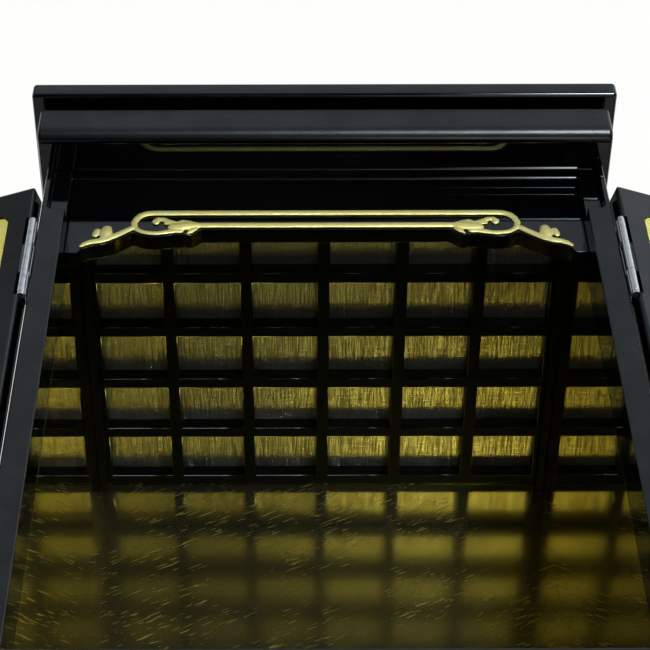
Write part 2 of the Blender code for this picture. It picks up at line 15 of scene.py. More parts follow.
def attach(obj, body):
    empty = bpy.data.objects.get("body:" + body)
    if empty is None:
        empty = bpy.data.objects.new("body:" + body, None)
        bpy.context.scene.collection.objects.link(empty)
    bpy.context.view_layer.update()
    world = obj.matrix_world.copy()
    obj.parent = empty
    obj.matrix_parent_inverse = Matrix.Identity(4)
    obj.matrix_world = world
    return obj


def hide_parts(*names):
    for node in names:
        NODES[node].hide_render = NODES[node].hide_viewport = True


bl_info = {
    "name": "Home Altar Finishes",
    "version": (1, 0, 0),
    "blender": (4, 5, 0),
    "location": "View3D > Sidebar > Altar",
    "description": "Builds the lacquer, gilding, hinges and studio of a tabletop home altar",
    "category": "Object",
}

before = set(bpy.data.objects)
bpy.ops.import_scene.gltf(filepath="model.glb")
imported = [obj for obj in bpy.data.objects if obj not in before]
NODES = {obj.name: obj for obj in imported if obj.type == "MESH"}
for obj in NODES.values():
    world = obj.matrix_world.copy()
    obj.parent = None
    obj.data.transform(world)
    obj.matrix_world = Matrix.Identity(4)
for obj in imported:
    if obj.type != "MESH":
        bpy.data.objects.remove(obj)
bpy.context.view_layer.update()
CABINET = "cabinet"
LEAVES = {"left": "left_leaf", "right": "right_leaf"}
SIDES = ("left", "right")

# Photograph's camera, worked out from the cabinet's right angles
CAMERA_PLACE = (-0.0233, -0.99172, -0.64722)
CAMERA_PITCH = 50.114
CAMERA_ROLL = -0.126
CAMERA_LENS = 109.23
CAMERA_SHIFT = 0.04815

# Stage: table top, low window in front and two pale cards; a fade is the
# distance from a pane's middle at which its light is down to about a third
TABLE_FRONT = -0.21
TABLE_THICKNESS = 0.03
TABLE_GAP = 0.0004
WINDOW_PLACE = (0.78, -3.20, -0.45)
WINDOW_SIZE = (1.0, 1.0)
WINDOW_FADE = 0.22
PANE_AIM = (0.0, 0.0, 0.40)
CARD_PLACE = (-0.08, -1.12, -0.74)
CARD_SIZE = (1.1, 0.9)
CARD_FADE = 0.28
LOW_CARD_PLACE = (0.19, -0.40, -0.115)
LOW_CARD_SIZE = (0.52, 0.15)
LOW_CARD_FADE = 0.155

# Boards that take their shape from the solid
MERGE = 0.00001
FLAT_ANGLE = math.radians(0.5)
SHARP_ANGLE = math.radians(60)
SMOOTH_ANGLE = math.radians(35)
QUARTER_TURN = math.pi / 2

# Front edge of the cornice board, where the polish is softer
SOFT_FRONT = 0.0095
SOFT_REACH = 0.006
SOFT_ROUGHNESS = 0.27

# Gold leaf on the back wall starts its squares here
BACK_LEAF_SHIFT = (0.078, 0.477, 0.0)


class LacquerSettings(PropertyGroup):
    """Black lacquer of the boards."""

    color: FloatVectorProperty(
        name="Color", description="Body colour under the gloss", subtype="COLOR",
        size=3, min=0, max=1, default=(0.0010, 0.0010, 0.0014),
    )
    roughness: FloatProperty(
        name="Roughness", description="How far the mirror is blurred",
        subtype="FACTOR", min=0, max=1, default=0.030,
    )
    waviness: FloatProperty(
        name="Waviness", description="Strength of the long, faint waves in the polish",
        subtype="FACTOR", min=0, max=1, default=0.10,
    )


class GiltSettings(PropertyGroup):
    """Gold leaf, gold weave and gilded carving."""

    leaf_color: FloatVectorProperty(
        name="Leaf Color", description="Gold leaf on walls and doors", subtype="COLOR",
        size=3, min=0, max=1, default=(0.95, 0.80, 0.17),
    )
    weave_color: FloatVectorProperty(
        name="Weave Color", description="Thread weave of the ceiling panel", subtype="COLOR",
        size=3, min=0, max=1, default=(0.92, 0.86, 0.46),
    )
    carving_color: FloatVectorProperty(
        name="Carving Color", description="Gilding of the scroll", subtype="COLOR",
        size=3, min=0, max=1, default=(1.0, 0.90, 0.38),
    )
    thread_pitch: FloatProperty(
        name="Thread Pitch", description="Distance between two threads of the weave",
        unit="LENGTH", min=0.0004, max=0.004, default=0.0014,
    )
    sheet: FloatProperty(
        name="Leaf Sheet", description="Side of one square of gold leaf",
        unit="LENGTH", min=0.05, max=0.3, default=0.138,
    )


class ScrollSettings(PropertyGroup):
    """Gilded scroll along the header."""

    voxel: FloatProperty(
        name="Grain", description="Finest form kept when the strokes are joined",
        unit="LENGTH", min=0.0002, max=0.002, default=0.00045,
    )
    softening: IntProperty(
        name="Softening", description="Passes that round off the carved strokes",
        min=0, max=20, default=3,
    )


class StageSettings(PropertyGroup):
    """Floor, light and surroundings."""

    table_width: FloatProperty(
        name="Table Width", description="Width of the table top under the altar",
        unit="LENGTH", min=0.5, max=5, default=1.6,
    )
    table_depth: FloatProperty(
        name="Table Depth", description="Depth of the table top under the altar",
        unit="LENGTH", min=0.4, max=3, default=0.75,
    )
    table_color: FloatVectorProperty(
        name="Table Color", description="Pale table top", subtype="COLOR",
        size=3, min=0, max=1, default=(0.55, 0.55, 0.54),
    )
    room: FloatProperty(
        name="Room", description="Brightness of the room above and in front of the altar",
        min=0, max=5, default=0.47,
    )
    backdrop: FloatProperty(
        name="Backdrop", description="Brightness of the wall behind the altar",
        min=0, max=5, default=0.99,
    )
    shade: FloatProperty(
        name="Shade", description="Brightness of the dark floor in front of the altar",
        min=0, max=5, default=0.035,
    )
    window: FloatProperty(
        name="Window", description="Brightness of the low window in front",
        min=0, max=500, default=55.0,
    )
    card: FloatProperty(
        name="Card", description="Brightness of the pale card behind the camera",
        min=0, max=50, default=0.33,
    )
    low_card: FloatProperty(
        name="Low Card", description="Brightness of the pale card low in front of the base",
        min=0, max=50, default=2.9,
    )


class Tree:
    """Short way to place and join nodes in one node tree."""

    def __init__(self, tree):
        self.tree = tree

    def add(self, kind, inputs=None, **settings):
        """Place a node, set its options and fill or link its inputs."""
        node = self.tree.nodes.new(kind)
        for key, value in settings.items():
            setattr(node, key, value)
        for key, value in (inputs or {}).items():
            self.feed(node.inputs[key], value)
        return node

    def feed(self, socket, value):
        """Link an output to the socket, or set the socket's own value."""
        if isinstance(value, bpy.types.NodeSocket):
            self.tree.links.new(value, socket)
        else:
            socket.default_value = value

    def math(self, operation, *values, clamp=False):
        """One Math node; values are outputs or numbers."""
        node = self.add("ShaderNodeMath", operation=operation, use_clamp=clamp)
        for socket, value in zip(node.inputs, values):
            self.feed(socket, value)
        return node.outputs[0]

    def span(self, value, low, high, to_low=0.0, to_high=1.0):
        """Map a value smoothly from one span to another."""
        node = self.add("ShaderNodeMapRange", interpolation_type="SMOOTHSTEP")
        for key, item in enumerate((value, low, high, to_low, to_high)):
            self.feed(node.inputs[key], item)
        return node.outputs[0]

    def blend(self, factor, first, second):
        """Mix two colours."""
        node = self.add("ShaderNodeMix", data_type="RGBA")
        self.feed(node.inputs[0], factor)
        self.feed(node.inputs[6], first)
        self.feed(node.inputs[7], second)
        return node.outputs[2]


def new_group(name, inputs, outputs):
    """An empty node group with float inputs and typed outputs."""
    group = bpy.data.node_groups.new(name, "ShaderNodeTree")
    for label, default in inputs.items():
        kind = "NodeSocketVector" if label == "Vector" else "NodeSocketFloat"
        socket = group.interface.new_socket(label, in_out="INPUT", socket_type=kind)
        if label != "Vector":
            socket.default_value = default
    for label, kind in outputs.items():
        group.interface.new_socket(label, in_out="OUTPUT", socket_type=kind)
    tree = Tree(group)
    start = tree.add("NodeGroupInput")
    end = tree.add("NodeGroupOutput")
    return tree, start.outputs, end.inputs


def polish_group():
    """Long faint waves and fine dust of a polished surface."""
    name = "Polish"
    if name in bpy.data.node_groups:
        return bpy.data.node_groups[name]
    tree, given, result = new_group(
        name, {"Vector": None, "Wave Size": 18.0, "Smudge": 0.03},
        {"Height": "NodeSocketFloat", "Haze": "NodeSocketFloat", "Gloss": "NodeSocketFloat"},
    )
    waves = tree.add(
        "ShaderNodeTexNoise",
        {"Vector": given["Vector"], "Scale": given["Wave Size"], "Detail": 1.5, "Roughness": 0.4},
    )
    peel = tree.add(
        "ShaderNodeTexNoise", {"Vector": given["Vector"], "Scale": 420.0, "Detail": 1.0},
    )
    height = tree.math("MULTIPLY_ADD", peel.outputs[0], 0.035, waves.outputs[0])
    tree.feed(result["Height"], height)
    smudge = tree.add(
        "ShaderNodeTexNoise", {"Vector": given["Vector"], "Scale": 26.0, "Detail": 6.0, "Roughness": 0.7},
    )
    haze = tree.math("MULTIPLY", tree.span(smudge.outputs[0], 0.45, 0.75), given["Smudge"])
    tree.feed(result["Haze"], haze)
    tree.feed(result["Gloss"], tree.span(smudge.outputs[0], 0.36, 0.60, 0.56, 0.45))
    return tree.tree


def leaf_group():
    """Squares of gold leaf: lapped seams, wrinkles and small rubbed spots."""
    name = "Leaf Sheets"
    if name in bpy.data.node_groups:
        return bpy.data.node_groups[name]
    tree, given, result = new_group(
        name, {"Vector": None, "Sheet": 0.138},
        {
            "Height": "NodeSocketFloat", "Seam": "NodeSocketFloat",
            "Tone": "NodeSocketFloat", "Haze": "NodeSocketFloat",
        },
    )
    wander = tree.add("ShaderNodeTexNoise", {"Vector": given["Vector"], "Scale": 9.0, "Detail": 3.0})
    drift = tree.add("ShaderNodeVectorMath", operation="SCALE")
    tree.feed(drift.inputs[0], wander.outputs["Color"])
    tree.feed(drift.inputs["Scale"], 0.006)
    moved = tree.add("ShaderNodeVectorMath", operation="ADD")
    tree.feed(moved.inputs[0], given["Vector"])
    tree.feed(moved.inputs[1], drift.outputs[0])
    parts = tree.add("ShaderNodeSeparateXYZ", {0: moved.outputs[0]})
    seam = None
    steps = []
    for axis in range(2):
        along = tree.math("DIVIDE", parts.outputs[axis], given["Sheet"])
        steps.append(tree.math("FLOOR", along))
        inside = tree.math("FRACT", along)
        line = tree.math("SUBTRACT", 1.0, tree.span(inside, 0.0, 0.008))
        seam = line if seam is None else tree.math("MAXIMUM", seam, line)
    tree.feed(result["Seam"], seam)
    cell = tree.add("ShaderNodeCombineXYZ", {0: steps[0], 1: steps[1]})
    tone = tree.add("ShaderNodeTexWhiteNoise", {"Vector": cell.outputs[0]}, noise_dimensions="3D")
    tree.feed(result["Tone"], tone.outputs["Value"])
    slant = tree.add(
        "ShaderNodeMapping",
        {"Vector": given["Vector"], "Rotation": (0.0, 0.0, math.radians(-28)), "Scale": (9.0, 1.0, 1.0)},
        vector_type="TEXTURE",
    )
    wrinkle = tree.add(
        "ShaderNodeTexNoise",
        {"Vector": slant.outputs[0], "Scale": 660.0, "Detail": 1.0, "Roughness": 0.5},
    )
    patch = tree.add("ShaderNodeTexNoise", {"Vector": given["Vector"], "Scale": 12.0, "Detail": 2.0})
    sparse = tree.span(patch.outputs[0], 0.36, 0.58)
    crease = tree.math("MULTIPLY", tree.span(wrinkle.outputs[0], 0.62, 0.70), sparse)
    fine = tree.add("ShaderNodeTexNoise", {"Vector": given["Vector"], "Scale": 900.0, "Detail": 2.0})
    height = tree.math("MULTIPLY_ADD", fine.outputs[0], 0.12, crease)
    tree.feed(result["Height"], tree.math("MULTIPLY_ADD", seam, 0.35, height))
    speck = tree.add("ShaderNodeTexNoise", {"Vector": given["Vector"], "Scale": 3500.0, "Detail": 1.0})
    dull = tree.math("MULTIPLY", tree.span(speck.outputs[0], 0.35, 0.65), 0.3)
    lapped = tree.math("MULTIPLY", seam, 0.35)
    tree.feed(result["Haze"], tree.math("MAXIMUM", dull, tree.math("MAXIMUM", crease, lapped)))
    return tree.tree


def weave_group():
    """Linen weave: strong uneven threads one way, finer ones across."""
    name = "Thread Weave"
    if name in bpy.data.node_groups:
        return bpy.data.node_groups[name]
    tree, given, result = new_group(
        name, {"Vector": None, "Pitch": 0.0014},
        {"Height": "NodeSocketFloat", "Thread": "NodeSocketFloat"},
    )
    rate = tree.math("DIVIDE", 1.0, given["Pitch"])
    sets = []
    for axis, drift, share in ((0, 3.7, 0.95), (1, 11.3, 1.5)):
        across = tree.math("MULTIPLY", rate, share)
        along = tree.math("MULTIPLY", across, 0.06)
        stretch = tree.add("ShaderNodeCombineXYZ", {axis: across, 1 - axis: along, 2: 1.0})
        place = tree.add("ShaderNodeVectorMath", operation="MULTIPLY")
        tree.feed(place.inputs[0], given["Vector"])
        tree.feed(place.inputs[1], stretch.outputs[0])
        moved = tree.add("ShaderNodeVectorMath", operation="ADD")
        tree.feed(moved.inputs[0], place.outputs[0])
        moved.inputs[1].default_value = (drift, drift, drift)
        threads = tree.add(
            "ShaderNodeTexNoise",
            {"Vector": moved.outputs[0], "Scale": 1.0, "Detail": 3.0, "Roughness": 0.65},
        )
        sets.append(tree.span(threads.outputs[0], 0.30, 0.70))
    warp, weft = sets
    crossing = tree.math("MULTIPLY", warp, weft)
    height = tree.math("MULTIPLY_ADD", warp, 0.66, tree.math("MULTIPLY", weft, 0.34))
    tree.feed(result["Height"], height)
    lifted = tree.math("MULTIPLY", height, 0.4)
    tree.feed(result["Thread"], tree.math("MULTIPLY_ADD", crossing, 0.6, lifted))
    return tree.tree


def new_material(name):
    """A material with a Principled shader; returns it, its tree and shader."""
    material = bpy.data.materials.new(name)
    material.use_nodes = True
    tree = Tree(material.node_tree)
    return material, tree, material.node_tree.nodes["Principled BSDF"]


def coordinates(tree, turn=(0.0, 0.0, 0.0), shift=(0.0, 0.0, 0.0)):
    """Object coordinates, turned and moved so that the pattern lies in the face."""
    place = tree.add("ShaderNodeTexCoord").outputs["Object"]
    if any(turn) or any(shift):
        laid = tree.add("ShaderNodeMapping", {"Vector": place, "Rotation": turn, "Location": shift})
        return laid.outputs[0]
    return place


def lacquer(name="Mirror Lacquer", softer=None):
    """Black lacquer polished to a mirror; in front of softer (a y) it is less sharp."""
    if name in bpy.data.materials:
        return bpy.data.materials[name]
    settings = bpy.context.scene.altar_lacquer
    material, tree, shader = new_material(name)
    polish = tree.add("ShaderNodeGroup", node_tree=polish_group())
    tree.feed(polish.inputs["Vector"], coordinates(tree))
    tree.feed(shader.inputs["Base Color"], (*settings.color, 1.0))
    tree.feed(shader.inputs["IOR"], 1.52)
    rough = tree.math("ADD", polish.outputs["Haze"], settings.roughness)
    if softer is not None:
        depth = tree.add("ShaderNodeSeparateXYZ", {0: coordinates(tree)}).outputs[1]
        added = tree.span(depth, softer, softer - SOFT_REACH, 0.0, SOFT_ROUGHNESS)
        rough = tree.math("ADD", rough, added)
    tree.feed(shader.inputs["Roughness"], rough)
    tree.feed(shader.inputs["Specular IOR Level"], polish.outputs["Gloss"])
    bump = tree.add(
        "ShaderNodeBump",
        {"Height": polish.outputs["Height"], "Strength": settings.waviness, "Distance": 0.0006},
    )
    tree.feed(shader.inputs["Normal"], bump.outputs[0])
    return material


def plain_paint():
    """Plain satin black on the back."""
    name = "Satin Black"
    if name in bpy.data.materials:
        return bpy.data.materials[name]
    material, tree, shader = new_material(name)
    place = coordinates(tree)
    grain_place = tree.add("ShaderNodeMapping", {"Vector": place, "Scale": (60.0, 60.0, 3.0)})
    grain = tree.add(
        "ShaderNodeTexNoise", {"Vector": grain_place.outputs[0], "Scale": 3.0, "Detail": 5.0},
    )
    color = tree.blend(grain.outputs[0], (0.010, 0.010, 0.011, 1.0), (0.020, 0.019, 0.019, 1.0))
    tree.feed(shader.inputs["Base Color"], color)
    tree.feed(shader.inputs["Roughness"], tree.span(grain.outputs[0], 0.2, 0.8, 0.34, 0.5))
    bump = tree.add("ShaderNodeBump", {"Height": grain.outputs[0], "Strength": 0.18, "Distance": 0.0004})
    tree.feed(shader.inputs["Normal"], bump.outputs[0])
    return material


def gold_leaf(name, turn, roughness, relief, haze=0.0, shift=(0.0, 0.0, 0.0), metal=1.0, varnish=0.0):
    """Gold leaf in squares; turn and shift lay them on the wall, haze dulls specks and creases."""
    if name in bpy.data.materials:
        return bpy.data.materials[name]
    settings = bpy.context.scene.altar_gilt
    material, tree, shader = new_material(name)
    leaf = tree.add("ShaderNodeGroup", node_tree=leaf_group())
    tree.feed(leaf.inputs["Vector"], coordinates(tree, turn, shift))
    tree.feed(leaf.inputs["Sheet"], settings.sheet)
    red, green, blue = settings.leaf_color
    dim = (red * 0.98, green * 0.97, blue * 0.93, 1.0)
    color = tree.blend(leaf.outputs["Tone"], (red, green, blue, 1.0), dim)
    rubbed = (red * 0.72, green * 0.62, blue * 0.5, 1.0)
    lapped = tree.math("MULTIPLY", leaf.outputs["Seam"], 0.2 * min(1.0, relief * 5))
    color = tree.blend(lapped, color, rubbed)
    tree.feed(shader.inputs["Base Color"], color)
    tree.feed(shader.inputs["Metallic"], metal)
    tree.feed(shader.inputs["Coat Weight"], varnish)
    tree.feed(shader.inputs["Coat Roughness"], 0.45)
    if haze:
        roughness = tree.math("MULTIPLY_ADD", leaf.outputs["Haze"], haze, roughness)
    tree.feed(shader.inputs["Roughness"], roughness)
    bump = tree.add(
        "ShaderNodeBump", {"Height": leaf.outputs["Height"], "Strength": relief, "Distance": 0.0004},
    )
    tree.feed(shader.inputs["Normal"], bump.outputs[0])
    return material


def gold_weave():
    """Metallic thread weave of the ceiling; its colour carries painted shade, dark where the threads lie
    low and bright where they stand and cross.
    """
    name = "Gold Weave"
    if name in bpy.data.materials:
        return bpy.data.materials[name]
    settings = bpy.context.scene.altar_gilt
    material, tree, shader = new_material(name)
    weave = tree.add("ShaderNodeGroup", node_tree=weave_group())
    tree.feed(weave.inputs["Vector"], coordinates(tree))
    tree.feed(weave.inputs["Pitch"], settings.thread_pitch)
    red, green, blue = settings.weave_color
    # Painted shade: the low places between threads are darkened to about a fifth of the gold, the raised
    # crossings kept at full brightness.
    bright = (red, green, blue, 1.0)
    deep = (red * 0.18, green * 0.16, blue * 0.13, 1.0)
    color = tree.blend(tree.span(weave.outputs["Thread"], 0.08, 0.60), deep, bright)
    tree.feed(shader.inputs["Base Color"], color)
    tree.feed(shader.inputs["Metallic"], 1.0)
    tree.feed(shader.inputs["Roughness"], tree.span(weave.outputs["Thread"], 0.1, 0.6, 0.18, 0.12))
    ridges = tree.add(
        "ShaderNodeBump", {"Height": weave.outputs["Thread"], "Strength": 1.0, "Distance": 0.0011},
    )
    tree.feed(shader.inputs["Coat Weight"], 1.0)
    tree.feed(shader.inputs["Coat IOR"], 2.6)
    tree.feed(shader.inputs["Coat Roughness"], 0.28)
    tree.feed(shader.inputs["Coat Normal"], ridges.outputs[0])
    bump = tree.add(
        "ShaderNodeBump", {"Height": weave.outputs["Height"], "Strength": 0.6, "Distance": 0.0002},
    )
    tree.feed(shader.inputs["Normal"], bump.outputs[0])
    return material


def batten_paint():
    """Satin black of the ceiling's battens."""
    name = "Batten Black"
    if name in bpy.data.materials:
        return bpy.data.materials[name]
    material, tree, shader = new_material(name)
    grain = tree.add("ShaderNodeTexNoise", {"Vector": coordinates(tree), "Scale": 240.0, "Detail": 4.0})
    tree.feed(shader.inputs["Base Color"], (0.0012, 0.0012, 0.0015, 1.0))
    tree.feed(shader.inputs["Specular IOR Level"], 0.05)
    tree.feed(shader.inputs["Roughness"], tree.span(grain.outputs[0], 0.3, 0.7, 0.30, 0.40))
    bump = tree.add("ShaderNodeBump", {"Height": grain.outputs[0], "Strength": 0.10, "Distance": 0.0002})
    tree.feed(shader.inputs["Normal"], bump.outputs[0])
    return material


def gilding():
    """Gilding on carved wood, its tone a little deeper in soft random patches."""
    name = "Gilded Carving"
    if name in bpy.data.materials:
        return bpy.data.materials[name]
    settings = bpy.context.scene.altar_gilt
    material, tree, shader = new_material(name)
    place = coordinates(tree)
    patch = tree.add(
        "ShaderNodeTexNoise", {"Vector": place, "Scale": 120.0, "Detail": 4.0, "Roughness": 0.6},
    )
    red, green, blue = settings.carving_color
    deep = (red * 0.95, green * 0.88, blue * 0.76, 1.0)
    mask = tree.span(patch.outputs[0], 0.38, 0.68)
    tree.feed(shader.inputs["Base Color"], tree.blend(mask, (red, green, blue, 1.0), deep))
    tree.feed(shader.inputs["Metallic"], 0.9)
    tree.feed(shader.inputs["Roughness"], tree.span(patch.outputs[0], 0.3, 0.7, 0.50, 0.58))
    grain = tree.add("ShaderNodeTexNoise", {"Vector": place, "Scale": 1400.0, "Detail": 2.0})
    bump = tree.add("ShaderNodeBump", {"Height": grain.outputs[0], "Strength": 0.25, "Distance": 0.0001})
    tree.feed(shader.inputs["Normal"], bump.outputs[0])
    return material


def hinge_metal():
    """Bright satin metal, drawn along the barrel."""
    name = "Drawn Metal"
    if name in bpy.data.materials:
        return bpy.data.materials[name]
    material, tree, shader = new_material(name)
    place = tree.add("ShaderNodeMapping", {"Vector": coordinates(tree), "Scale": (1.0, 1.0, 0.03)})
    lines = tree.add("ShaderNodeTexNoise", {"Vector": place.outputs[0], "Scale": 2600.0, "Detail": 3.0})
    spots = tree.add("ShaderNodeTexNoise", {"Vector": coordinates(tree), "Scale": 220.0, "Detail": 4.0})
    spotted = tree.span(spots.outputs[0], 0.5, 0.8)
    color = tree.blend(spotted, (0.74, 0.74, 0.75, 1.0), (0.45, 0.44, 0.43, 1.0))
    tree.feed(shader.inputs["Base Color"], color)
    tree.feed(shader.inputs["Metallic"], 1.0)
    tree.feed(shader.inputs["Roughness"], tree.span(lines.outputs[0], 0.3, 0.7, 0.22, 0.34))
    bump = tree.add("ShaderNodeBump", {"Height": lines.outputs[0], "Strength": 0.12, "Distance": 0.00005})
    tree.feed(shader.inputs["Normal"], bump.outputs[0])
    return material


def publish(name, bm, body, materials, node):
    """Turn a bmesh into a piece that rides on a body and stands for a node."""
    mesh = bpy.data.meshes.new(name)
    bm.to_mesh(mesh)
    bm.free()
    for material in materials:
        mesh.materials.append(material)
    piece = bpy.data.objects.new(name, mesh)
    bpy.context.scene.collection.objects.link(piece)
    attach(piece, body)
    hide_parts(node)
    return piece


def merged(node):
    """The node's shape as a bmesh with its corners joined and flats whole."""
    bm = bmesh.new()
    bm.from_mesh(NODES[node].data)
    bmesh.ops.remove_doubles(bm, verts=bm.verts, dist=MERGE)
    bmesh.ops.dissolve_limit(bm, angle_limit=FLAT_ANGLE, verts=bm.verts, edges=bm.edges)
    return bm


def smooth_piece(piece):
    """Smooth the rounded edges and keep the flats flat."""
    mesh = piece.data
    mesh.shade_smooth()
    mesh.set_sharp_from_angle(angle=SMOOTH_ANGLE)
    weighted = piece.modifiers.new("flat faces", "WEIGHTED_NORMAL")
    weighted.mode = "FACE_AREA"
    weighted.weight = 100
    weighted.keep_sharp = True


def board(node, body, material, soften=0.0, segments=3, arris=None):
    """A board from its solid; soften rounds the sharp corners, arris is their finish."""
    bm = merged(node)
    materials = [material]
    if arris:
        materials.append(arris)
    if soften:
        sharp = [
            edge for edge in bm.edges
            if len(edge.link_faces) == 2 and edge.calc_face_angle_signed(0) > SHARP_ANGLE
        ]
        bmesh.ops.bevel(
            bm, geom=sharp, offset=soften, offset_type="OFFSET", segments=segments,
            profile=0.5, affect="EDGES", clamp_overlap=True, material=1 if arris else -1,
        )
    smooth_piece(publish(f"{node}_finish", bm, body, materials, node))


class ALTAR_OT_cornice(Operator):
    """Top board, neck, cornice board and the stepped moulding under it."""

    bl_idname = "altar.cornice"
    bl_label = "Cornice"

    def execute(self, context):
        for node in ("top_board", "cornice_neck", "cornice_bead"):
            board(node, CABINET, lacquer())
        front = min(corner[1] for corner in NODES["cornice_board"].bound_box)
        board("cornice_board", CABINET, lacquer("Softer Lacquer", front + SOFT_FRONT))
        return {"FINISHED"}


class ALTAR_OT_posts(Operator):
    """Front posts and the header board between them."""

    bl_idname = "altar.posts"
    bl_label = "Posts and Header"

    def execute(self, context):
        for side in SIDES:
            board(f"post_{side}", CABINET, lacquer())
        board("header_board", CABINET, lacquer(), soften=0.0004, segments=2)
        return {"FINISHED"}


class ALTAR_OT_scroll(Operator):
    """Gilded scroll in relief along the header's lower edge."""

    bl_idname = "altar.scroll"
    bl_label = "Gilded Scroll"

    def execute(self, context):
        settings = context.scene.altar_scroll
        piece = publish(
            "header_scroll_finish", merged("header_scroll"), CABINET, [gilding()],
            "header_scroll",
        )
        remesh = piece.modifiers.new("one carving", "REMESH")
        remesh.mode = "VOXEL"
        remesh.voxel_size = settings.voxel
        remesh.use_smooth_shade = True
        soften = piece.modifiers.new("soft cuts", "SMOOTH")
        soften.factor = 0.5
        soften.iterations = settings.softening
        return {"FINISHED"}


class ALTAR_OT_ceiling(Operator):
    """Coffered ceiling: battens, woven panel and hanging rails."""

    bl_idname = "altar.ceiling"
    bl_label = "Ceiling"

    def execute(self, context):
        board("ceiling_lattice", CABINET, batten_paint(), soften=0.0006, arris=lacquer())
        board("ceiling_front_board", CABINET, batten_paint())
        board("ceiling_panel", CABINET, gold_weave())
        for side in SIDES:
            board(
                f"ceiling_rail_{side}", CABINET, batten_paint(),
                soften=0.0009, arris=lacquer(),
            )
        return {"FINISHED"}


class ALTAR_OT_walls(Operator):
    """Gilded walls inside, lacquered sides and the plain back."""

    bl_idname = "altar.walls"
    bl_label = "Walls"

    def execute(self, context):
        back_leaf = gold_leaf(
            "Wall Leaf Back", (QUARTER_TURN, 0.0, 0.0), 0.11, 0.06,
            haze=0.32, shift=BACK_LEAF_SHIFT, varnish=0.8,
        )
        side_leaf = gold_leaf("Wall Leaf Side", (0.0, QUARTER_TURN, 0.0), 0.03, 0.004)
        board("gilt_back", CABINET, back_leaf)
        for side in SIDES:
            board(f"gilt_side_{side}", CABINET, side_leaf)
            board(f"side_board_{side}", CABINET, lacquer())
        board("back_board", CABINET, plain_paint())
        return {"FINISHED"}


class ALTAR_OT_base(Operator):
    """Floor, sill, step board and plinth."""

    bl_idname = "altar.base"
    bl_label = "Base"

    def execute(self, context):
        board("floor_board", CABINET, lacquer(), soften=0.0003)
        for node in ("sill_rail", "base_step", "base_plinth"):
            board(node, CABINET, lacquer())
        return {"FINISHED"}


class ALTAR_OT_doors(Operator):
    """Door frames and the gilded panels let into them."""

    bl_idname = "altar.doors"
    bl_label = "Doors"

    def execute(self, context):
        leaf = gold_leaf("Door Leaf", (QUARTER_TURN, 0.0, 0.0), 0.50, 0.12, metal=0.25)
        for side in SIDES:
            board(f"door_{side}", LEAVES[side], lacquer())
            board(f"gilt_door_panel_{side}", LEAVES[side], leaf, soften=0.0003)
        return {"FINISHED"}


class ALTAR_OT_hinges(Operator):
    """Barrel hinges of both doors."""

    bl_idname = "altar.hinges"
    bl_label = "Hinges"

    def execute(self, context):
        for side in SIDES:
            for level in ("upper", "lower"):
                stem = f"hinge_{side}_{level}"
                board(f"{stem}_fixed", CABINET, hinge_metal(), soften=0.0001, segments=2)
                board(f"{stem}_door", LEAVES[side], hinge_metal(), soften=0.0001, segments=2)
        return {"FINISHED"}


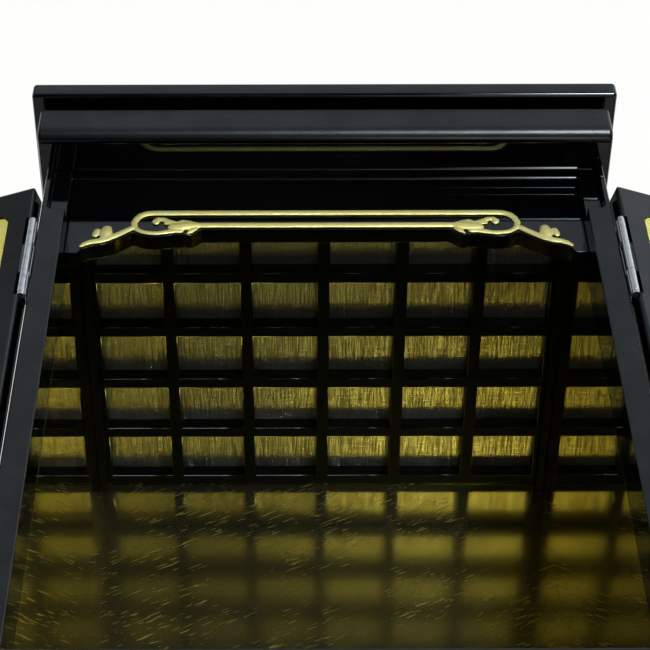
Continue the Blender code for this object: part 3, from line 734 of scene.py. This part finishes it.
class ALTAR_OT_stage(Operator):
    """Table top, room, window, two pale cards and the photograph's camera."""

    bl_idname = "altar.stage"
    bl_label = "Stage"

    def execute(self, context):
        settings = context.scene.altar_stage
        self.table(settings)
        self.surroundings(settings)
        self.window(settings)
        for name, place, size, fade, shine in (
            ("card", CARD_PLACE, CARD_SIZE, CARD_FADE, settings.card),
            ("low_card", LOW_CARD_PLACE, LOW_CARD_SIZE, LOW_CARD_FADE, settings.low_card),
        ):
            self.soft_pane(name, place, size, fade, shine)
        self.camera()
        return {"FINISHED"}

    def table(self, settings):
        """Table top whose front edge stays below the photograph's view."""
        bm = bmesh.new()
        bmesh.ops.create_cube(bm, size=1.0)
        size = (settings.table_width, settings.table_depth, TABLE_THICKNESS)
        bmesh.ops.scale(bm, vec=size, verts=bm.verts)
        middle = TABLE_FRONT + settings.table_depth / 2
        bmesh.ops.translate(bm, vec=(0, middle, -TABLE_THICKNESS / 2 - TABLE_GAP), verts=bm.verts)
        bmesh.ops.bevel(
            bm, geom=bm.edges[:], offset=0.004, offset_type="OFFSET", segments=3,
            profile=0.5, affect="EDGES", material=-1,
        )
        mesh = bpy.data.meshes.new("table_top")
        bm.to_mesh(mesh)
        bm.free()
        top = bpy.data.objects.new("table_top", mesh)
        bpy.context.scene.collection.objects.link(top)
        material, tree, shader = new_material("Table Top")
        place = coordinates(tree)
        speckle = tree.add("ShaderNodeTexNoise", {"Vector": place, "Scale": 300.0, "Detail": 3.0})
        red, green, blue = settings.table_color
        dim = (red * 0.93, green * 0.93, blue * 0.93, 1.0)
        color = tree.blend(speckle.outputs[0], (red, green, blue, 1.0), dim)
        tree.feed(shader.inputs["Base Color"], color)
        tree.feed(shader.inputs["Roughness"], 0.6)
        mesh.materials.append(material)

    def surroundings(self, settings):
        """A room: white wall behind, grey in front, dimmer to its left, dark floor below."""
        world = bpy.data.worlds.new("Pale Room")
        bpy.context.scene.world = world
        world.use_nodes = True
        tree = Tree(world.node_tree)
        background = world.node_tree.nodes["Background"]
        direction = tree.add("ShaderNodeTexCoord").outputs["Generated"]
        parts = tree.add("ShaderNodeSeparateXYZ", {0: direction})
        right, back, up = parts.outputs
        front = tree.span(up, -0.15, 0.32, settings.shade, settings.room)
        behind = tree.span(up, -0.35, 0.0, 0.015, settings.backdrop)
        left_dim = tree.span(right, -0.40, -0.15, 0.40, 1.0)
        right_lit = tree.span(right, 0.15, 0.40, 1.0, 1.35)
        front = tree.math("MULTIPLY", front, tree.math("MULTIPLY", left_dim, right_lit))
        aside = tree.span(tree.math("ABSOLUTE", right), 0.40, 0.95)
        side = tree.math("MULTIPLY", aside, tree.span(up, 0.0, 0.6, 0.0, 1.2))
        front = tree.math("ADD", front, side)
        where = tree.span(back, 0.0, 0.35)
        mixed = tree.add("ShaderNodeMix", {0: where, 2: front, 3: behind}, data_type="FLOAT")
        cool = tree.blend(where, (0.90, 1.0, 1.07, 1.0), (1.0, 1.0, 0.985, 1.0))
        tree.feed(background.inputs["Color"], cool)
        tree.feed(background.inputs["Strength"], mixed.outputs[0])

    def pane(self, name, place, size, color, shine):
        """A glowing pane that faces the altar; shine gives its brightness."""
        bm = bmesh.new()
        bmesh.ops.create_grid(bm, x_segments=1, y_segments=1, size=0.5)
        bmesh.ops.scale(bm, vec=(size[0], size[1], 1.0), verts=bm.verts)
        mesh = bpy.data.meshes.new(name)
        bm.to_mesh(mesh)
        bm.free()
        pane = bpy.data.objects.new(name, mesh)
        bpy.context.scene.collection.objects.link(pane)
        aim = Vector(PANE_AIM) - Vector(place)
        pane.matrix_world = Matrix.Translation(place) @ aim.to_track_quat("Z", "Y").to_matrix().to_4x4()
        material = bpy.data.materials.new(f"{name} light")
        material.use_nodes = True
        material.node_tree.nodes.clear()
        tree = Tree(material.node_tree)
        facing = tree.math("SUBTRACT", 1.0, tree.add("ShaderNodeNewGeometry").outputs["Backfacing"])
        strength = tree.math("MULTIPLY", shine(tree), facing)
        glow = tree.add("ShaderNodeEmission", {"Color": color, "Strength": strength})
        out = tree.add("ShaderNodeOutputMaterial", {"Surface": glow.outputs[0]})
        out.is_active_output = True
        mesh.materials.append(material)
        pane.visible_camera = False

    def bell(self, tree, value):
        """A soft share: 1 where the value is 0, fading out on both sides of it."""
        square = tree.math("MULTIPLY", value, value)
        return tree.math("EXPONENT", tree.math("MULTIPLY", square, -1.0))

    def window(self, settings):
        """Low window in front, brightest along its upright middle."""
        def shine(tree):
            across = tree.add("ShaderNodeSeparateXYZ", {0: coordinates(tree)}).outputs[0]
            fade = self.bell(tree, tree.math("DIVIDE", across, WINDOW_FADE))
            return tree.math("MULTIPLY", fade, settings.window)
        self.pane("window", WINDOW_PLACE, WINDOW_SIZE, (0.80, 0.92, 1.0, 1.0), shine)

    def soft_pane(self, name, place, size, fade, strength):
        """Pane that is brightest in its middle and fades out over a distance."""
        def shine(tree):
            scaled = tree.add("ShaderNodeVectorMath", {0: coordinates(tree)}, operation="SCALE")
            tree.feed(scaled.inputs["Scale"], 1.0 / fade)
            length = tree.add("ShaderNodeVectorMath", {0: scaled.outputs[0]}, operation="LENGTH")
            return tree.math("MULTIPLY", self.bell(tree, length.outputs["Value"]), strength)
        self.pane(name, place, size, (0.94, 0.98, 1.0, 1.0), shine)

    def camera(self):
        """The photograph's view: from below, looking steeply up."""
        data = bpy.data.cameras.new("photo_camera")
        data.sensor_width = 36.0
        data.lens = CAMERA_LENS
        data.shift_x = CAMERA_SHIFT
        data.clip_start = 0.01
        camera = bpy.data.objects.new("photo_camera", data)
        bpy.context.scene.collection.objects.link(camera)
        tilt = Matrix.Rotation(math.radians(90 + CAMERA_PITCH), 4, "X")
        roll = Matrix.Rotation(math.radians(CAMERA_ROLL), 4, "Z")
        camera.matrix_world = Matrix.Translation(CAMERA_PLACE) @ tilt @ roll
        bpy.context.scene.camera = camera
        bpy.context.scene.view_settings.view_transform = "Standard"


class ALTAR_PT_panel(Panel):
    """Lists the altar's pieces."""

    bl_idname = "ALTAR_PT_panel"
    bl_label = "Home Altar"
    bl_space_type = "VIEW_3D"
    bl_region_type = "UI"
    bl_category = "Altar"

    def draw(self, context):
        layout = self.layout
        for operator in OPERATORS:
            layout.operator(operator.bl_idname)
        for name in SETTINGS:
            group = getattr(context.scene, name)
            box = layout.box()
            for key in group.bl_rna.properties.keys():
                if key not in ("rna_type", "name"):
                    box.prop(group, key)


OPERATORS = (
    ALTAR_OT_cornice,
    ALTAR_OT_posts,
    ALTAR_OT_scroll,
    ALTAR_OT_ceiling,
    ALTAR_OT_walls,
    ALTAR_OT_base,
    ALTAR_OT_doors,
    ALTAR_OT_hinges,
    ALTAR_OT_stage,
)
SETTINGS = {
    "altar_lacquer": LacquerSettings,
    "altar_gilt": GiltSettings,
    "altar_scroll": ScrollSettings,
    "altar_stage": StageSettings,
}


def register():
    for cls in (*SETTINGS.values(), *OPERATORS, ALTAR_PT_panel):
        bpy.utils.register_class(cls)
    for name, cls in SETTINGS.items():
        setattr(bpy.types.Scene, name, PointerProperty(type=cls))


def unregister():
    for name in SETTINGS:
        delattr(bpy.types.Scene, name)
    for cls in (ALTAR_PT_panel, *reversed(OPERATORS), *reversed(SETTINGS.values())):
        bpy.utils.unregister_class(cls)


def main():
    register()
    bpy.ops.altar.stage()
    bpy.ops.altar.cornice()
    bpy.ops.altar.posts()
    bpy.ops.altar.scroll()
    bpy.ops.altar.ceiling()
    bpy.ops.altar.walls()
    bpy.ops.altar.base()
    bpy.ops.altar.doors()
    bpy.ops.altar.hinges()


if __name__ == "__main__":
    main()
